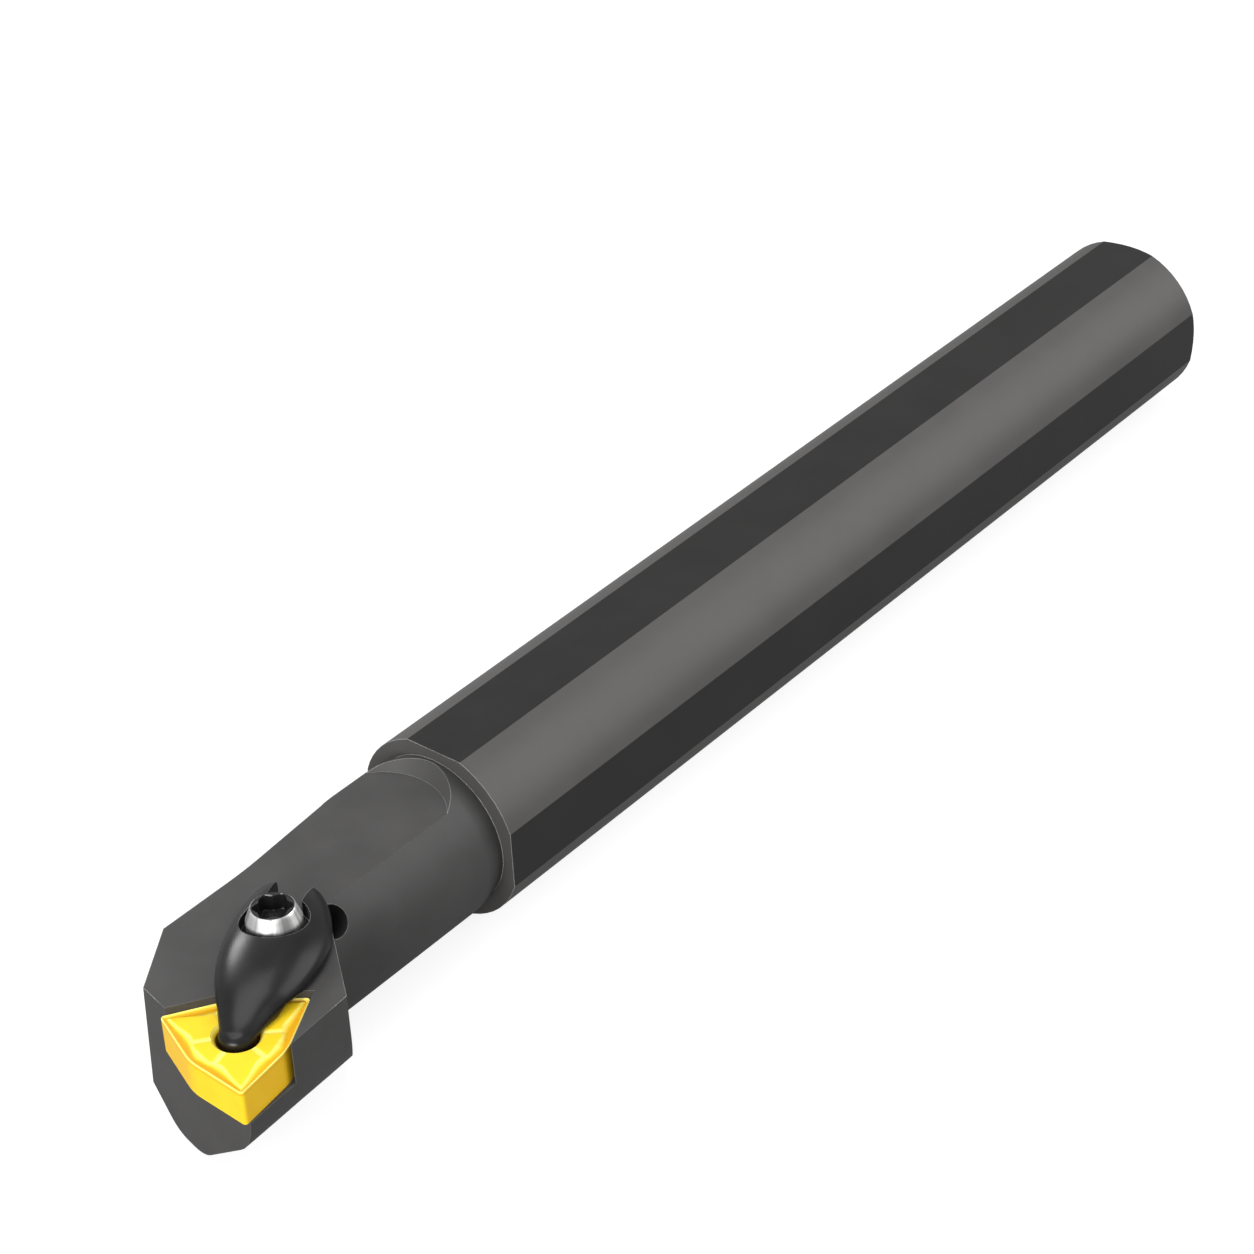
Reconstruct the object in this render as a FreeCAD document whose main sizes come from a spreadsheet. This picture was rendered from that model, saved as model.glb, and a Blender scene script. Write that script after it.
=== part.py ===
import FreeCAD, Part
import math
import os
import Sketcher

# A steel boring bar with an eccentric head, a trigon insert and a hooked clamp.
#
# Frame, in millimetres: the origin is the centre of the shank's rear face. +X points out of the
# rear face, so the head lies towards -X. +Z is up, square to the top flat and to the rake face,
# and -Y is the side that cuts. Places on the head are measured from the shoulder.

doc = FreeCAD.newDocument("boring_bar")
sheet = doc.addObject("Spreadsheet::Sheet", "Sizes")

# Driving dimensions, in millimetres and degrees
DRIVING = {
    # shank
    "shank_dia": 25.0,
    "shank_length": 160.6,
    "flats_height": 23.5,
    "flats_width": 23.7,
    "rear_bevel": 0.8,
    # neck
    "neck_dia": 21.9,
    "neck_length": 36.0,
    "neck_root_dia": 20.6,
    "neck_root_length": 3.2,
    "neck_root_radius": 5.0,
    "neck_taper": 10.0,
    "neck_nose_dia": 12.0,
    # deck
    "deck_height": 8.5,
    "deck_start": 2.1,
    "deck_cutter_dia": 18.0,
    "deck_cutter_side": 0.2,
    "deck_wall_height": 2.4,
    "deck_wall_slant": 1.9,
    # far side, relieved in plan
    "far_start": 5.0,
    "far_neck": 7.15,
    "far_neck_at": 9.5,
    "far_neck_radius": 9.0,
    "far_head": 5.45,
    "far_head_at": 28.0,
    "far_head_radius": 60.0,
    "corner_at": 41.4,
    "corner_angle": 33.0,
    "corner_lean": 5.0,
    # head section
    "head_start": 21.0,
    "head_side": 20.2,
    "head_skew": 3.6,
    "head_belly": 11.6,
    "head_facet": 14.0,
    "facet_skew": 1.5,
    "head_facet_angle": 49.6,
    "head_side_radius": 9.0,
    "head_belly_radius": 6.0,
    "head_far_facet": 6.1,
    "head_far_radius": 4.6,
    "ramp_at": 37.7,
    "ramp_angle": 51.0,
    # front face
    "front_at": 50.3,
    "head_spare": 8.0,
    "front_at_side": 0.36,
    "front_angle": 13.5,
    "front_rake": 1.0,
    # insert
    "insert_circle": 12.7,
    "insert_thick": 4.76,
    "insert_nose_radius": 0.4,
    "insert_bore": 5.16,
    "insert_bore_bevel": 0.42,
    "insert_at": 49.1,
    "insert_side": 14.0,
    "insert_turn": 2.0,
    "insert_below_deck": 1.0,
    "seat_gap": 0.05,
    "side_wall_gap": 0.45,
    "tip_wall_gap": 0.8,
    # clamp
    "screw_at": 35.2,
    "screw_side": 6.9,
    "clamp_turn": 27.0,
    "clamp_gap": 0.3,
    "clamp_height": 4.0,
    "clamp_width": 12.5,
    "clamp_lean": 0.55,
    "clamp_skirt": 0.35,
    "clamp_tail": 8.2,
    "clamp_nose_radius": 2.2,
    "clamp_pin_reach": 2.0,
    "clamp_recess_dia": 8.3,
    "clamp_web": 0.9,
    "clamp_web_end": 5.0,
    "clamp_slot": 4.7,
    # screw
    "screw_dia": 4.0,
    "screw_length": 16.0,
    "screw_head_dia": 6.7,
    "screw_head_height": 3.8,
    "screw_bevel": 1.8,
    "screw_crown_dia": 5.3,
    "socket_dia": 3.7,
    "socket_lobe_dia": 0.9,
    "socket_depth": 2.2,
    "screw_fit": 0.05,
    "thread_spare": 1.0,
    "screw_way": 0.2,
    "head_gap": 0.1,
    # spring
    "spring_wire": 0.7,
    "spring_dia": 5.7,
    "spring_turns": 5.0,
    "spring_room": 0.35,
    "spring_pocket_depth": 5.9,
    "spring_end_gap": 0.05,
    # coolant way
    "inlet_dia": 8.6,
    "inlet_depth": 12.0,
    "channel_dia": 6.0,
    "outlet_dia": 4.2,
    "outlet_at": 27.6,
    "outlet_angle": 50.0,
}

for row, (name, number) in enumerate(DRIVING.items(), start=1):
    sheet.set("A" + str(row), name)
    sheet.set("B" + str(row), str(number))
    sheet.setAlias("B" + str(row), name)
doc.recompute()


# A size that carries its number and the expression that binds it to the sheet
class Size:
    def __init__(self, number, text):
        self.number = number
        self.text = text

    def __add__(self, other):
        other = size(other)
        return Size(self.number + other.number, "(" + self.text + " + " + other.text + ")")

    def __sub__(self, other):
        other = size(other)
        return Size(self.number - other.number, "(" + self.text + " - " + other.text + ")")

    def __mul__(self, other):
        other = size(other)
        return Size(self.number * other.number, "(" + self.text + " * " + other.text + ")")

    def __truediv__(self, other):
        other = size(other)
        return Size(self.number / other.number, "(" + self.text + " / " + other.text + ")")

    def __neg__(self):
        return Size(-self.number, "(0 - " + self.text + ")")

    def __radd__(self, other):
        return size(other) + self

    def __rsub__(self, other):
        return size(other) - self

    def __rmul__(self, other):
        return size(other) * self


def size(value):
    return value if isinstance(value, Size) else Size(float(value), repr(float(value)))


def turned(function, angle):
    angle = size(angle)
    return Size(getattr(math, function)(math.radians(angle.number)), function + "(" + angle.text + ")")


def cosine(angle):
    return turned("cos", angle)


def sine(angle):
    return turned("sin", angle)


def tangent(angle):
    return turned("tan", angle)


D = {name: Size(sheet.get(name), "Sizes." + name) for name in DRIVING}


def bind(thing, **properties):
    """Set each property to a size and bind it to the sheet."""
    for name, value in properties.items():
        value = size(value)
        setattr(thing, name, value.number)
        thing.setExpression(name, value.text)


def place(thing, x=0.0, y=0.0, z=0.0, turn=None):
    """Put a thing at a bound place, turned about Z by a bound angle."""
    if turn is not None:
        thing.Placement.Rotation = FreeCAD.Rotation(FreeCAD.Vector(0, 0, 1), turn.number)
        thing.setExpression("Placement.Rotation.Angle", turn.text)
    for axis, value in zip("xyz", (x, y, z)):
        value = size(value)
        setattr(thing.Placement.Base, axis, value.number)
        thing.setExpression("Placement.Base." + axis, value.text)


def cylinder(name, radius, height, x=0.0, y=0.0, z=0.0, along=None):
    """A cylinder on the Z axis, or on the axis named by a rotation."""
    thing = doc.addObject("Part::Cylinder", name)
    bind(thing, Radius=radius, Height=height)
    if along is not None:
        thing.Placement.Rotation = along
    place(thing, x, y, z)
    return thing


def cone(name, low, high, height, x=0.0, y=0.0, z=0.0):
    thing = doc.addObject("Part::Cone", name)
    bind(thing, Radius1=low, Radius2=high, Height=height)
    place(thing, x, y, z)
    return thing


def fused(name, things):
    thing = doc.addObject("Part::MultiFuse", name)
    thing.Shapes = things
    return thing


def common(name, things):
    thing = doc.addObject("Part::MultiCommon", name)
    thing.Shapes = things
    return thing


def cut(name, base, tool):
    thing = doc.addObject("Part::Cut", name)
    thing.Base = base
    thing.Tool = tool
    return thing


def rounding(before, corner, after, radius):
    """Where a rounding of this radius starts and ends on the two lines of a corner, and its centre."""
    here = FreeCAD.Vector(corner[0].number, corner[1].number, 0)
    back = (FreeCAD.Vector(before[0].number, before[1].number, 0) - here).normalize()
    ahead = (FreeCAD.Vector(after[0].number, after[1].number, 0) - here).normalize()
    half = back.getAngle(ahead) / 2
    middle = (back + ahead).normalize()
    reach = radius / math.tan(half)
    return here + back * reach, here + ahead * reach, here + middle * (radius / math.sin(half))


def outline(name, corners):
    """A closed sketch through corners (x, y, radius), each bound to the sheet; radius None is sharp."""
    sketch = doc.addObject("Sketcher::SketchObject", name)
    points = [(size(x), size(y)) for x, y, radius in corners]
    radii = [None if radius is None else size(radius) for x, y, radius in corners]
    count = len(points)
    ends = []
    for index in range(count):
        if radii[index] is None:
            here = FreeCAD.Vector(points[index][0].number, points[index][1].number, 0)
            ends.append((here, here, None))
        else:
            ends.append(rounding(points[index - 1], points[index], points[(index + 1) % count],
                                 radii[index].number))
    lines = []
    for index in range(count):
        lines.append(sketch.addGeometry(Part.LineSegment(ends[index][1], ends[(index + 1) % count][0])))
    for index in range(count):
        before, after = lines[index - 1], lines[index]
        x, y = points[index]
        if radii[index] is None:
            sketch.addConstraint(Sketcher.Constraint("Coincident", before, 2, after, 1))
            held = (after, 1)
        else:
            start, end, centre = ends[index]
            middle = centre + (start + end - centre * 2).normalize() * radii[index].number
            arc = sketch.addGeometry(Part.Arc(start, middle, end))
            turns_left = (start - centre).cross(end - centre).z > 0
            first, last = (1, 2) if turns_left else (2, 1)
            sketch.addConstraint(Sketcher.Constraint("Tangent", before, 2, arc, first))
            sketch.addConstraint(Sketcher.Constraint("Tangent", arc, last, after, 1))
            bound = sketch.addConstraint(Sketcher.Constraint("Radius", arc, radii[index].number))
            sketch.setExpression("Constraints[" + str(bound) + "]", radii[index].text)
            mark = sketch.addGeometry(Part.Point(FreeCAD.Vector(x.number, y.number, 0)), True)
            sketch.addConstraint(Sketcher.Constraint("PointOnObject", mark, 1, before))
            sketch.addConstraint(Sketcher.Constraint("PointOnObject", mark, 1, after))
            held = (mark, 1)
        for kind, value in (("DistanceX", x), ("DistanceY", y)):
            bound = sketch.addConstraint(Sketcher.Constraint(kind, -1, 1, held[0], held[1], value.number))
            sketch.setExpression("Constraints[" + str(bound) + "]", value.text)
    return sketch


def extruded(name, sketch, direction, forward, back=0.0):
    """A solid swept from a closed sketch along a direction, forwards and backwards."""
    thing = doc.addObject("Part::Extrusion", name)
    thing.Base = sketch
    thing.DirMode = "Custom"
    thing.Dir = direction
    thing.Solid = True
    bind(thing, LengthFwd=forward, LengthRev=back)
    return thing


def crossing(first_angle, first_reach, second_angle, second_reach):
    """Where two lines cross, each given by the angle of its normal and its distance from the origin."""
    spread = sine(second_angle - first_angle)
    x = (first_reach * sine(second_angle) - second_reach * sine(first_angle)) / spread
    y = (second_reach * cosine(first_angle) - first_reach * cosine(second_angle)) / spread
    return x, y


ALONG_X = FreeCAD.Rotation(FreeCAD.Vector(0, 1, 0), 90)
UP = FreeCAD.Vector(0, 0, 1)
SIDE_VIEW = FreeCAD.Rotation(FreeCAD.Vector(1, 0, 0), FreeCAD.Vector(0, 0, 1), FreeCAD.Vector(0, -1, 0))
END_VIEW = FreeCAD.Rotation(FreeCAD.Vector(0, 1, 0), FreeCAD.Vector(0, 0, 1), FreeCAD.Vector(1, 0, 0))

shank_radius = D["shank_dia"] / 2
neck_radius = D["neck_dia"] / 2
shoulder = -D["shank_length"]
outside = D["shank_dia"] * 2
deck = D["deck_height"]
seat = deck - D["insert_below_deck"] - D["insert_thick"]
insert_radius = D["insert_circle"] / 2
insert_x = shoulder - D["insert_at"]
screw_x = shoulder - D["screw_at"]
beyond = D["front_at"] + outside


# The turned bar: shank, shoulder, neck and the taper that ends inside the head
def turned_blank():
    neck_end = shoulder - D["neck_length"]
    nose_end = neck_end - D["neck_taper"]
    profile = outline("turned_profile", [
        (0.0, 0.0, None),
        (0.0, shank_radius - D["rear_bevel"], None),
        (-D["rear_bevel"], shank_radius, None),
        (shoulder, shank_radius, None),
        (shoulder, D["neck_root_dia"] / 2, None),
        (shoulder - D["neck_root_length"], neck_radius, D["neck_root_radius"]),
        (neck_end, neck_radius, None),
        (nose_end, D["neck_nose_dia"] / 2, None),
        (nose_end, 0.0, None),
    ])
    profile.Placement.Rotation = SIDE_VIEW
    blank = doc.addObject("Part::Revolution", "turned_blank")
    blank.Source = profile
    blank.Axis = FreeCAD.Vector(1, 0, 0)
    blank.Angle = 360
    blank.Solid = True
    flats = doc.addObject("Part::Box", "flats")
    bind(flats, Length=D["shank_length"] + beyond, Width=D["flats_width"], Height=D["flats_height"])
    place(flats, shoulder - beyond, -D["flats_width"] / 2, -D["flats_height"] / 2)
    return common("bar_with_flats", [blank, flats])


# The head's section at a distance from the shoulder: a leaning side, a slanted facet and a belly
def head_section(name, distance):
    behind_ramp = distance - D["ramp_at"]
    side = D["head_side"] + behind_ramp * tangent(D["head_skew"])
    facet = D["head_facet"] + behind_ramp * tangent(D["facet_skew"])
    facet_turn = D["head_facet_angle"]
    far = D["far_head"]
    far_turn = size(45.0)
    low_far = D["head_far_facet"] / cosine(far_turn)
    section = outline(name, [
        (-side, deck, None),
        (-side, (side * cosine(facet_turn) - facet) / sine(facet_turn), D["head_side_radius"]),
        ((D["head_belly"] * sine(facet_turn) - facet) / cosine(facet_turn), -D["head_belly"],
         D["head_belly_radius"]),
        (low_far - D["head_belly"], -D["head_belly"], D["head_far_radius"]),
        (far, far - low_far, None),
        (far, deck, None),
    ])
    section.Placement.Rotation = END_VIEW
    place(section, shoulder - distance)
    return section


# The head: a loft between two sections, cut back behind by the ramp
def head():
    loft = doc.addObject("Part::Loft", "head_loft")
    loft.Sections = [head_section("head_section_rear", D["head_start"]),
                     head_section("head_section_front", D["front_at"] + D["head_spare"])]
    loft.Solid = True
    loft.Ruled = True
    ramp = outline("ramp_outline", [
        (-D["ramp_at"], -D["head_side"], None),
        (-D["ramp_at"] + D["head_side"] / tangent(D["ramp_angle"]), 0.0, None),
        (-D["ramp_at"] + outside, outside, None),
        (outside, outside, None),
        (outside, -outside, None),
        (-D["ramp_at"] - (outside - D["head_side"]) / tangent(D["ramp_angle"]), -outside, None),
    ])
    place(ramp, shoulder, 0.0, 0.0)
    behind = extruded("behind_ramp", ramp, UP, outside, outside)
    return cut("head_blank", loft, behind)


# Everything that is milled away: the deck, the far side, the corner, the front face, the pocket
def milled_away():
    cutter_radius = D["deck_cutter_dia"] / 2
    cutter_x = shoulder - D["deck_start"] - cutter_radius
    cutter = cylinder("deck_cutter", cutter_radius, outside, cutter_x, D["deck_cutter_side"], deck)
    cutter_rim = cone("deck_cutter_rim", cutter_radius, cutter_radius + D["deck_wall_slant"],
                      D["deck_wall_height"], cutter_x, D["deck_cutter_side"], deck)
    deck_path = doc.addObject("Part::Box", "deck_path")
    bind(deck_path, Length=beyond - D["deck_start"] - cutter_radius, Width=outside * 2, Height=outside)
    place(deck_path, shoulder - beyond, -outside, deck)

    far_profile = outline("far_profile", [
        (-D["far_start"], neck_radius + D["far_start"] / 2, None),
        (-D["far_neck_at"], D["far_neck"], D["far_neck_radius"]),
        (-D["far_head_at"], D["far_head"], D["far_head_radius"]),
        (-beyond, D["far_head"], None),
        (-beyond, outside, None),
        (-D["far_start"], outside, None),
    ])
    place(far_profile, shoulder)
    far_cut = extruded("far_cut", far_profile, UP, outside, outside)

    corner_line = tangent(D["corner_angle"])
    corner_profile = outline("corner_profile", [
        (-D["corner_at"], D["far_head"], None),
        (-beyond, D["far_head"] - (beyond - D["corner_at"]) * corner_line, None),
        (-beyond, outside, None),
        (-D["corner_at"] + (outside - D["far_head"]) / corner_line, outside, None),
    ])
    place(corner_profile, shoulder, 0.0, deck)
    lean = math.tan(math.radians(D["corner_lean"].number))
    corner_cut = extruded("corner_cut", corner_profile, FreeCAD.Vector(0, -lean, 1), outside, outside)
    corner_cut.setExpression("Dir.y", "-tan(Sizes.corner_lean)")

    front_line = tangent(D["front_angle"])
    front_profile = outline("front_profile", [
        (-D["front_at"] + (outside + D["front_at_side"]) * front_line, outside, None),
        (-D["front_at"] - (outside - D["front_at_side"]) * front_line, -outside, None),
        (-beyond, -outside, None),
        (-beyond, outside, None),
    ])
    place(front_profile, shoulder, 0.0, deck)
    rake = math.tan(math.radians(D["front_rake"].number))
    front_cut = extruded("front_cut", front_profile, FreeCAD.Vector(-rake, 0, 1), outside, outside)
    front_cut.setExpression("Dir.x", "-tan(Sizes.front_rake)")

    near = insert_radius + D["seat_gap"]
    wide = insert_radius + D["side_wall_gap"]
    past = insert_radius + D["tip_wall_gap"]
    rear_corner = crossing(35.0, near, 55.0, near)
    side_corner = crossing(35.0, near, 295.0, wide)
    flank_corner = crossing(295.0, wide, 275.0, past)
    past_tip = crossing(275.0, past, 185.0, outside)
    past_far = crossing(55.0, near, 145.0, outside)
    pocket_profile = outline("pocket_profile", [
        (rear_corner[0], rear_corner[1], None),
        (past_far[0], past_far[1], None),
        (past_tip[0], past_far[1], None),
        (past_tip[0], past_tip[1], None),
        (flank_corner[0], flank_corner[1], None),
        (side_corner[0], side_corner[1], None),
    ])
    place(pocket_profile, insert_x, -D["insert_side"], seat, D["insert_turn"])
    pocket_cut = extruded("pocket_cut", pocket_profile, UP, outside)
    return [cutter, cutter_rim, deck_path, far_cut, corner_cut, front_cut, pocket_cut]


# Holes: the screw's thread and spring pocket, and the coolant's way from rear to outlet
def holes():
    pocket_radius = D["spring_dia"] / 2 + D["spring_wire"] / 2 + D["spring_room"]
    pocket_floor = deck - D["spring_pocket_depth"]
    spring_pocket = cylinder("spring_pocket", pocket_radius, D["spring_pocket_depth"] + D["thread_spare"],
                             screw_x, -D["screw_side"], pocket_floor)
    thread_radius = D["screw_dia"] / 2 + D["screw_fit"]
    thread_low = screw_seat() - D["screw_length"] - D["thread_spare"]
    thread = cylinder("thread_hole", thread_radius, pocket_floor + D["thread_spare"] - thread_low,
                      screw_x, -D["screw_side"], thread_low)
    inlet = cylinder("inlet", D["inlet_dia"] / 2, D["inlet_depth"] + D["rear_bevel"],
                     -D["inlet_depth"], 0.0, 0.0, ALONG_X)
    outlet_x = shoulder - D["outlet_at"]
    channel_end = outlet_x - D["channel_dia"] / 2
    channel = cylinder("channel", D["channel_dia"] / 2, -channel_end, channel_end, 0.0, 0.0, ALONG_X)
    outlet = cylinder("outlet", D["outlet_dia"] / 2, outside, outlet_x, 0.0, 0.0,
                      FreeCAD.Rotation(FreeCAD.Vector(1, 0, 0), D["outlet_angle"].number))
    outlet.setExpression("Placement.Rotation.Angle", D["outlet_angle"].text)
    return [spring_pocket, thread, inlet, channel, outlet]


def screw_seat():
    """The height that the screw's head bears on: the clamp's web."""
    return deck + D["clamp_gap"] + D["clamp_web"] + D["head_gap"]


def bar_body():
    solid = fused("bar_solid", [bar_blank, head()])
    tools = fused("bar_tools", milled_away() + holes())
    return cut("bar_body", solid, tools)


# The trigon insert: three corners of 80 degrees and three of 160 degrees round one circle
def insert():
    corners = []
    for corner in (225.0, 345.0, 105.0):
        sharp = crossing(corner - 50.0, insert_radius, corner + 50.0, insert_radius)
        blunt = crossing(corner + 50.0, insert_radius, corner + 70.0, insert_radius)
        corners.append((sharp[0], sharp[1], D["insert_nose_radius"]))
        corners.append((blunt[0], blunt[1], None))
    profile = outline("insert_profile", corners)
    place(profile, insert_x, -D["insert_side"], seat, D["insert_turn"])
    body = extruded("insert_blank", profile, UP, D["insert_thick"])
    bore_radius = D["insert_bore"] / 2
    bevel = D["insert_bore_bevel"]
    at = (insert_x, -D["insert_side"])
    bore = cylinder("insert_bore_cut", bore_radius, D["insert_thick"] + bevel * 2, at[0], at[1], seat - bevel)
    top = cone("insert_bevel_top", bore_radius, bore_radius + bevel * 2, bevel * 2,
               at[0], at[1], seat + D["insert_thick"] - bevel)
    low = cone("insert_bevel_low", bore_radius + bevel * 2, bore_radius, bevel * 2,
               at[0], at[1], seat - bevel)
    return cut("insert", body, fused("insert_cuts", [bore, top, low]))


# The clamp, in its own frame: the screw's axis at the origin, the tail towards +X, the nose -X
def clamp():
    low = D["clamp_gap"].number
    half = D["clamp_width"].number / 2
    rise = D["clamp_height"].number - low
    tail = D["clamp_tail"].number
    nose = D["clamp_nose_radius"].number
    reach = math.hypot(insert_x.number - screw_x.number, D["screw_side"].number - D["insert_side"].number)
    skirt = D["clamp_skirt"].number
    lean = D["clamp_lean"].number

    def section(x, width, height):
        y = -lean * width / half
        foot_left = FreeCAD.Vector(x, y + width, low)
        foot_right = FreeCAD.Vector(x, y - width, low)
        left = FreeCAD.Vector(x, y + width, low + skirt * height)
        right = FreeCAD.Vector(x, y - width, low + skirt * height)
        top = FreeCAD.Vector(x, y, low + height)
        middle = FreeCAD.Vector(x, y, low + skirt * height)
        if width > (1 - skirt) * height:
            arc = Part.ArcOfEllipse(Part.Ellipse(left, top, middle), 0, math.pi)
        else:
            arc = Part.ArcOfEllipse(Part.Ellipse(top, left, middle), -math.pi / 2, math.pi / 2)
        return Part.Wire(Part.__sortEdges__([
            Part.LineSegment(foot_right, foot_left).toShape(), Part.LineSegment(foot_left, left).toShape(),
            arc.toShape(), Part.LineSegment(right, foot_right).toShape()]))

    stations = [
        (tail, 0.38 * half, 0.45 * rise),
        (0.88 * tail, 0.62 * half, 0.60 * rise),
        (0.52 * tail, 0.80 * half, 0.82 * rise),
        (0.0, 0.98 * half, 0.95 * rise),
        (-0.30 * reach, half, 0.98 * rise),
        (-0.60 * reach, 0.80 * half, 0.86 * rise),
        (-0.82 * reach, 0.56 * half, 0.62 * rise),
        (-reach, 1.20 * nose, 0.36 * rise),
        (-reach - 0.6 * nose, 0.80 * nose, 0.10 * rise),
    ]
    block = Part.makeLoft([section(*station) for station in stations], True, False)
    pin_low = -D["insert_below_deck"].number - D["clamp_pin_reach"].number
    pin_high = low - 0.3 * nose
    pin = Part.makeCylinder(nose, pin_high - pin_low, FreeCAD.Vector(-reach, 0, pin_low))
    pin = pin.fuse(Part.makeCone(nose, 0.5 * nose, 0.6 * nose, FreeCAD.Vector(-reach, 0, pin_high)))
    block = block.fuse(pin)

    web_top = low + D["clamp_web"].number
    web_end = D["clamp_web_end"].number
    slot_half = D["clamp_slot"].number / 2
    tools = [
        Part.makeCylinder(D["clamp_recess_dia"].number / 2, rise, FreeCAD.Vector(0, 0, web_top)),
        Part.makeBox(2 * tail, 2 * slot_half, rise, FreeCAD.Vector(0, -slot_half, web_top)),
        Part.makeBox(2 * tail, 2 * slot_half, 2 * rise, FreeCAD.Vector(web_end, -slot_half, low - 1)),
        Part.makeCylinder(D["screw_dia"].number / 2 + D["screw_way"].number, rise + 2,
                          FreeCAD.Vector(0, 0, low - 1)),
    ]
    for tool in tools:
        block = block.cut(tool)
    thing = doc.addObject("Part::Feature", "clamp")
    thing.Shape = block
    place(thing, screw_x, -D["screw_side"], deck, D["clamp_turn"])
    return thing


# The screw: a bevelled head with a six-lobe socket, and a plain shank of the thread's size
def clamp_screw():
    radius = D["screw_head_dia"] / 2
    at = (screw_x, -D["screw_side"])
    base = screw_seat()
    straight = D["screw_head_height"] - D["screw_bevel"]
    head_low = cylinder("screw_head", radius, straight, at[0], at[1], base)
    bevel = cone("screw_head_bevel", radius, D["screw_crown_dia"] / 2, D["screw_bevel"],
                 at[0], at[1], base + straight)
    shank = cylinder("screw_shank", D["screw_dia"] / 2, D["screw_length"] + straight / 2,
                     at[0], at[1], base - D["screw_length"])
    body = fused("screw_solid", [head_low, bevel, shank])
    socket_low = base + D["screw_head_height"] - D["socket_depth"]
    core = D["socket_dia"] / 2
    tools = [cylinder("socket_core", core, D["socket_depth"] * 2, at[0], at[1], socket_low)]
    for lobe in range(6):
        turn = 60.0 * lobe
        tools.append(cylinder("socket_lobe_" + str(lobe + 1), D["socket_lobe_dia"] / 2, D["socket_depth"] * 2,
                              at[0] + core * cosine(turn), at[1] + core * sine(turn), socket_low))
    return cut("clamp_screw", body, fused("socket", tools))


# The spring: a coil round the screw, from the floor of its pocket to the clamp's underside
def clamp_spring():
    wire = D["spring_wire"]
    low = deck - D["spring_pocket_depth"] + wire / 2 + D["spring_end_gap"]
    high = deck + D["clamp_gap"] - wire / 2 - D["spring_end_gap"]
    path = doc.addObject("Part::Helix", "spring_path")
    bind(path, Radius=D["spring_dia"] / 2, Height=high - low, Pitch=(high - low) / D["spring_turns"])
    section = doc.addObject("Part::Circle", "spring_section")
    bind(section, Radius=wire / 2)
    section.Placement.Rotation = FreeCAD.Rotation(FreeCAD.Vector(1, 0, 0), 90)
    place(section, D["spring_dia"] / 2)
    coil = doc.addObject("Part::Sweep", "clamp_spring")
    coil.Sections = [section]
    coil.Spine = (path, ["Edge1"])
    coil.Solid = True
    coil.Frenet = True
    place(coil, screw_x, -D["screw_side"], low)
    return coil


bar_blank = turned_blank()
SUBPARTS = {
    "bar_body": bar_body(),
    "insert": insert(),
    "clamp": clamp(),
    "clamp_screw": clamp_screw(),
    "clamp_spring": clamp_spring(),
}
for label, thing in SUBPARTS.items():
    thing.Label = label
doc.recompute()

faults = [thing.Name for thing in doc.Objects if {"Invalid", "Error"} & set(thing.State)]
for label, thing in SUBPARTS.items():
    if thing.Shape.isNull() or not thing.Shape.isValid() or not thing.Shape.Solids:
        faults.append(label)
if faults:
    raise SystemExit("not built: " + ", ".join(faults))

os.makedirs("parts", exist_ok=True)
for label, thing in SUBPARTS.items():
    shape = thing.Shape
    print(label, len(shape.Solids), "solids", round(shape.Volume, 1), "mm3", shape.BoundBox)
    shape.exportStep("parts/" + label + ".step")
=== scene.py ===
# %% [markdown]
# # A steel boring bar
# A boring bar turns the inside of a hole on a lathe. A long round shank is held in a bored block, and a
# small hard insert at the far end does the cutting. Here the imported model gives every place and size,
# and this lesson dresses it: camera, light, finishes, and finer pieces where the solids are plain.

# %% Load the frame
import math
import bmesh
import bpy
import numpy as np
from mathutils import Matrix, Vector


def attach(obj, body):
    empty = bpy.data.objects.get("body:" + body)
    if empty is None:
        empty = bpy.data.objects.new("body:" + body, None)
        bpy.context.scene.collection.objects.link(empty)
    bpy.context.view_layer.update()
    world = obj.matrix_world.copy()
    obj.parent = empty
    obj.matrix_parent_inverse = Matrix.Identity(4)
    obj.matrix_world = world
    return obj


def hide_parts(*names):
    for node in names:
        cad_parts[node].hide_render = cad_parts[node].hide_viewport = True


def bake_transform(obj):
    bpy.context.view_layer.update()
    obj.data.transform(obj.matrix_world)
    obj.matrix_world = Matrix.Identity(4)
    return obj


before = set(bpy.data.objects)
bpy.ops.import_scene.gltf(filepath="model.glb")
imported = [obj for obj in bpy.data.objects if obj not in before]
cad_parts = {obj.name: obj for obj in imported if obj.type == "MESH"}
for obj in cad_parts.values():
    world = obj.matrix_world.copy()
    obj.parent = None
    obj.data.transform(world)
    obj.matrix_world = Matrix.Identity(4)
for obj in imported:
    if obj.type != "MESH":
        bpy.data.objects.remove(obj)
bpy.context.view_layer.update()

MM = 0.001
print("nodes:", sorted(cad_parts))


# %% [markdown]
# ## Places and sizes
# The few numbers that the pieces share are named once. Places are in millimetres, as on a drawing, and
# each helper turns them into Blender's metres. The origin is the middle of the shank's rear face, and the
# tool reaches from there towards -X.

# %% Shared places
SHOULDER_X = -160.6
DECK_Z = 8.5
INSERT_CENTRE = Vector((SHOULDER_X - 49.1, -14.0, DECK_Z - 1.0))
INSERT_TURN = math.radians(2.0)
INSERT_THICK = 4.76
INSERT_IN_RADIUS = 12.7 / 2
SCREW_CENTRE = Vector((SHOULDER_X - 35.2, -6.9, DECK_Z))
CLAMP_TURN = math.radians(27.0)
CLAMP_REACH = math.hypot(INSERT_CENTRE.x - SCREW_CENTRE.x, INSERT_CENTRE.y - SCREW_CENTRE.y)
FLOOR_Z = -11.76


# %% [markdown]
# ## Camera
# The photograph was taken with a longish lens from the cutting side, looking down at about 34 degrees. The
# camera's place and turn were fitted so that the edges of the shank and the head fall where they do in the
# photograph, and the render can be laid over it.

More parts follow.
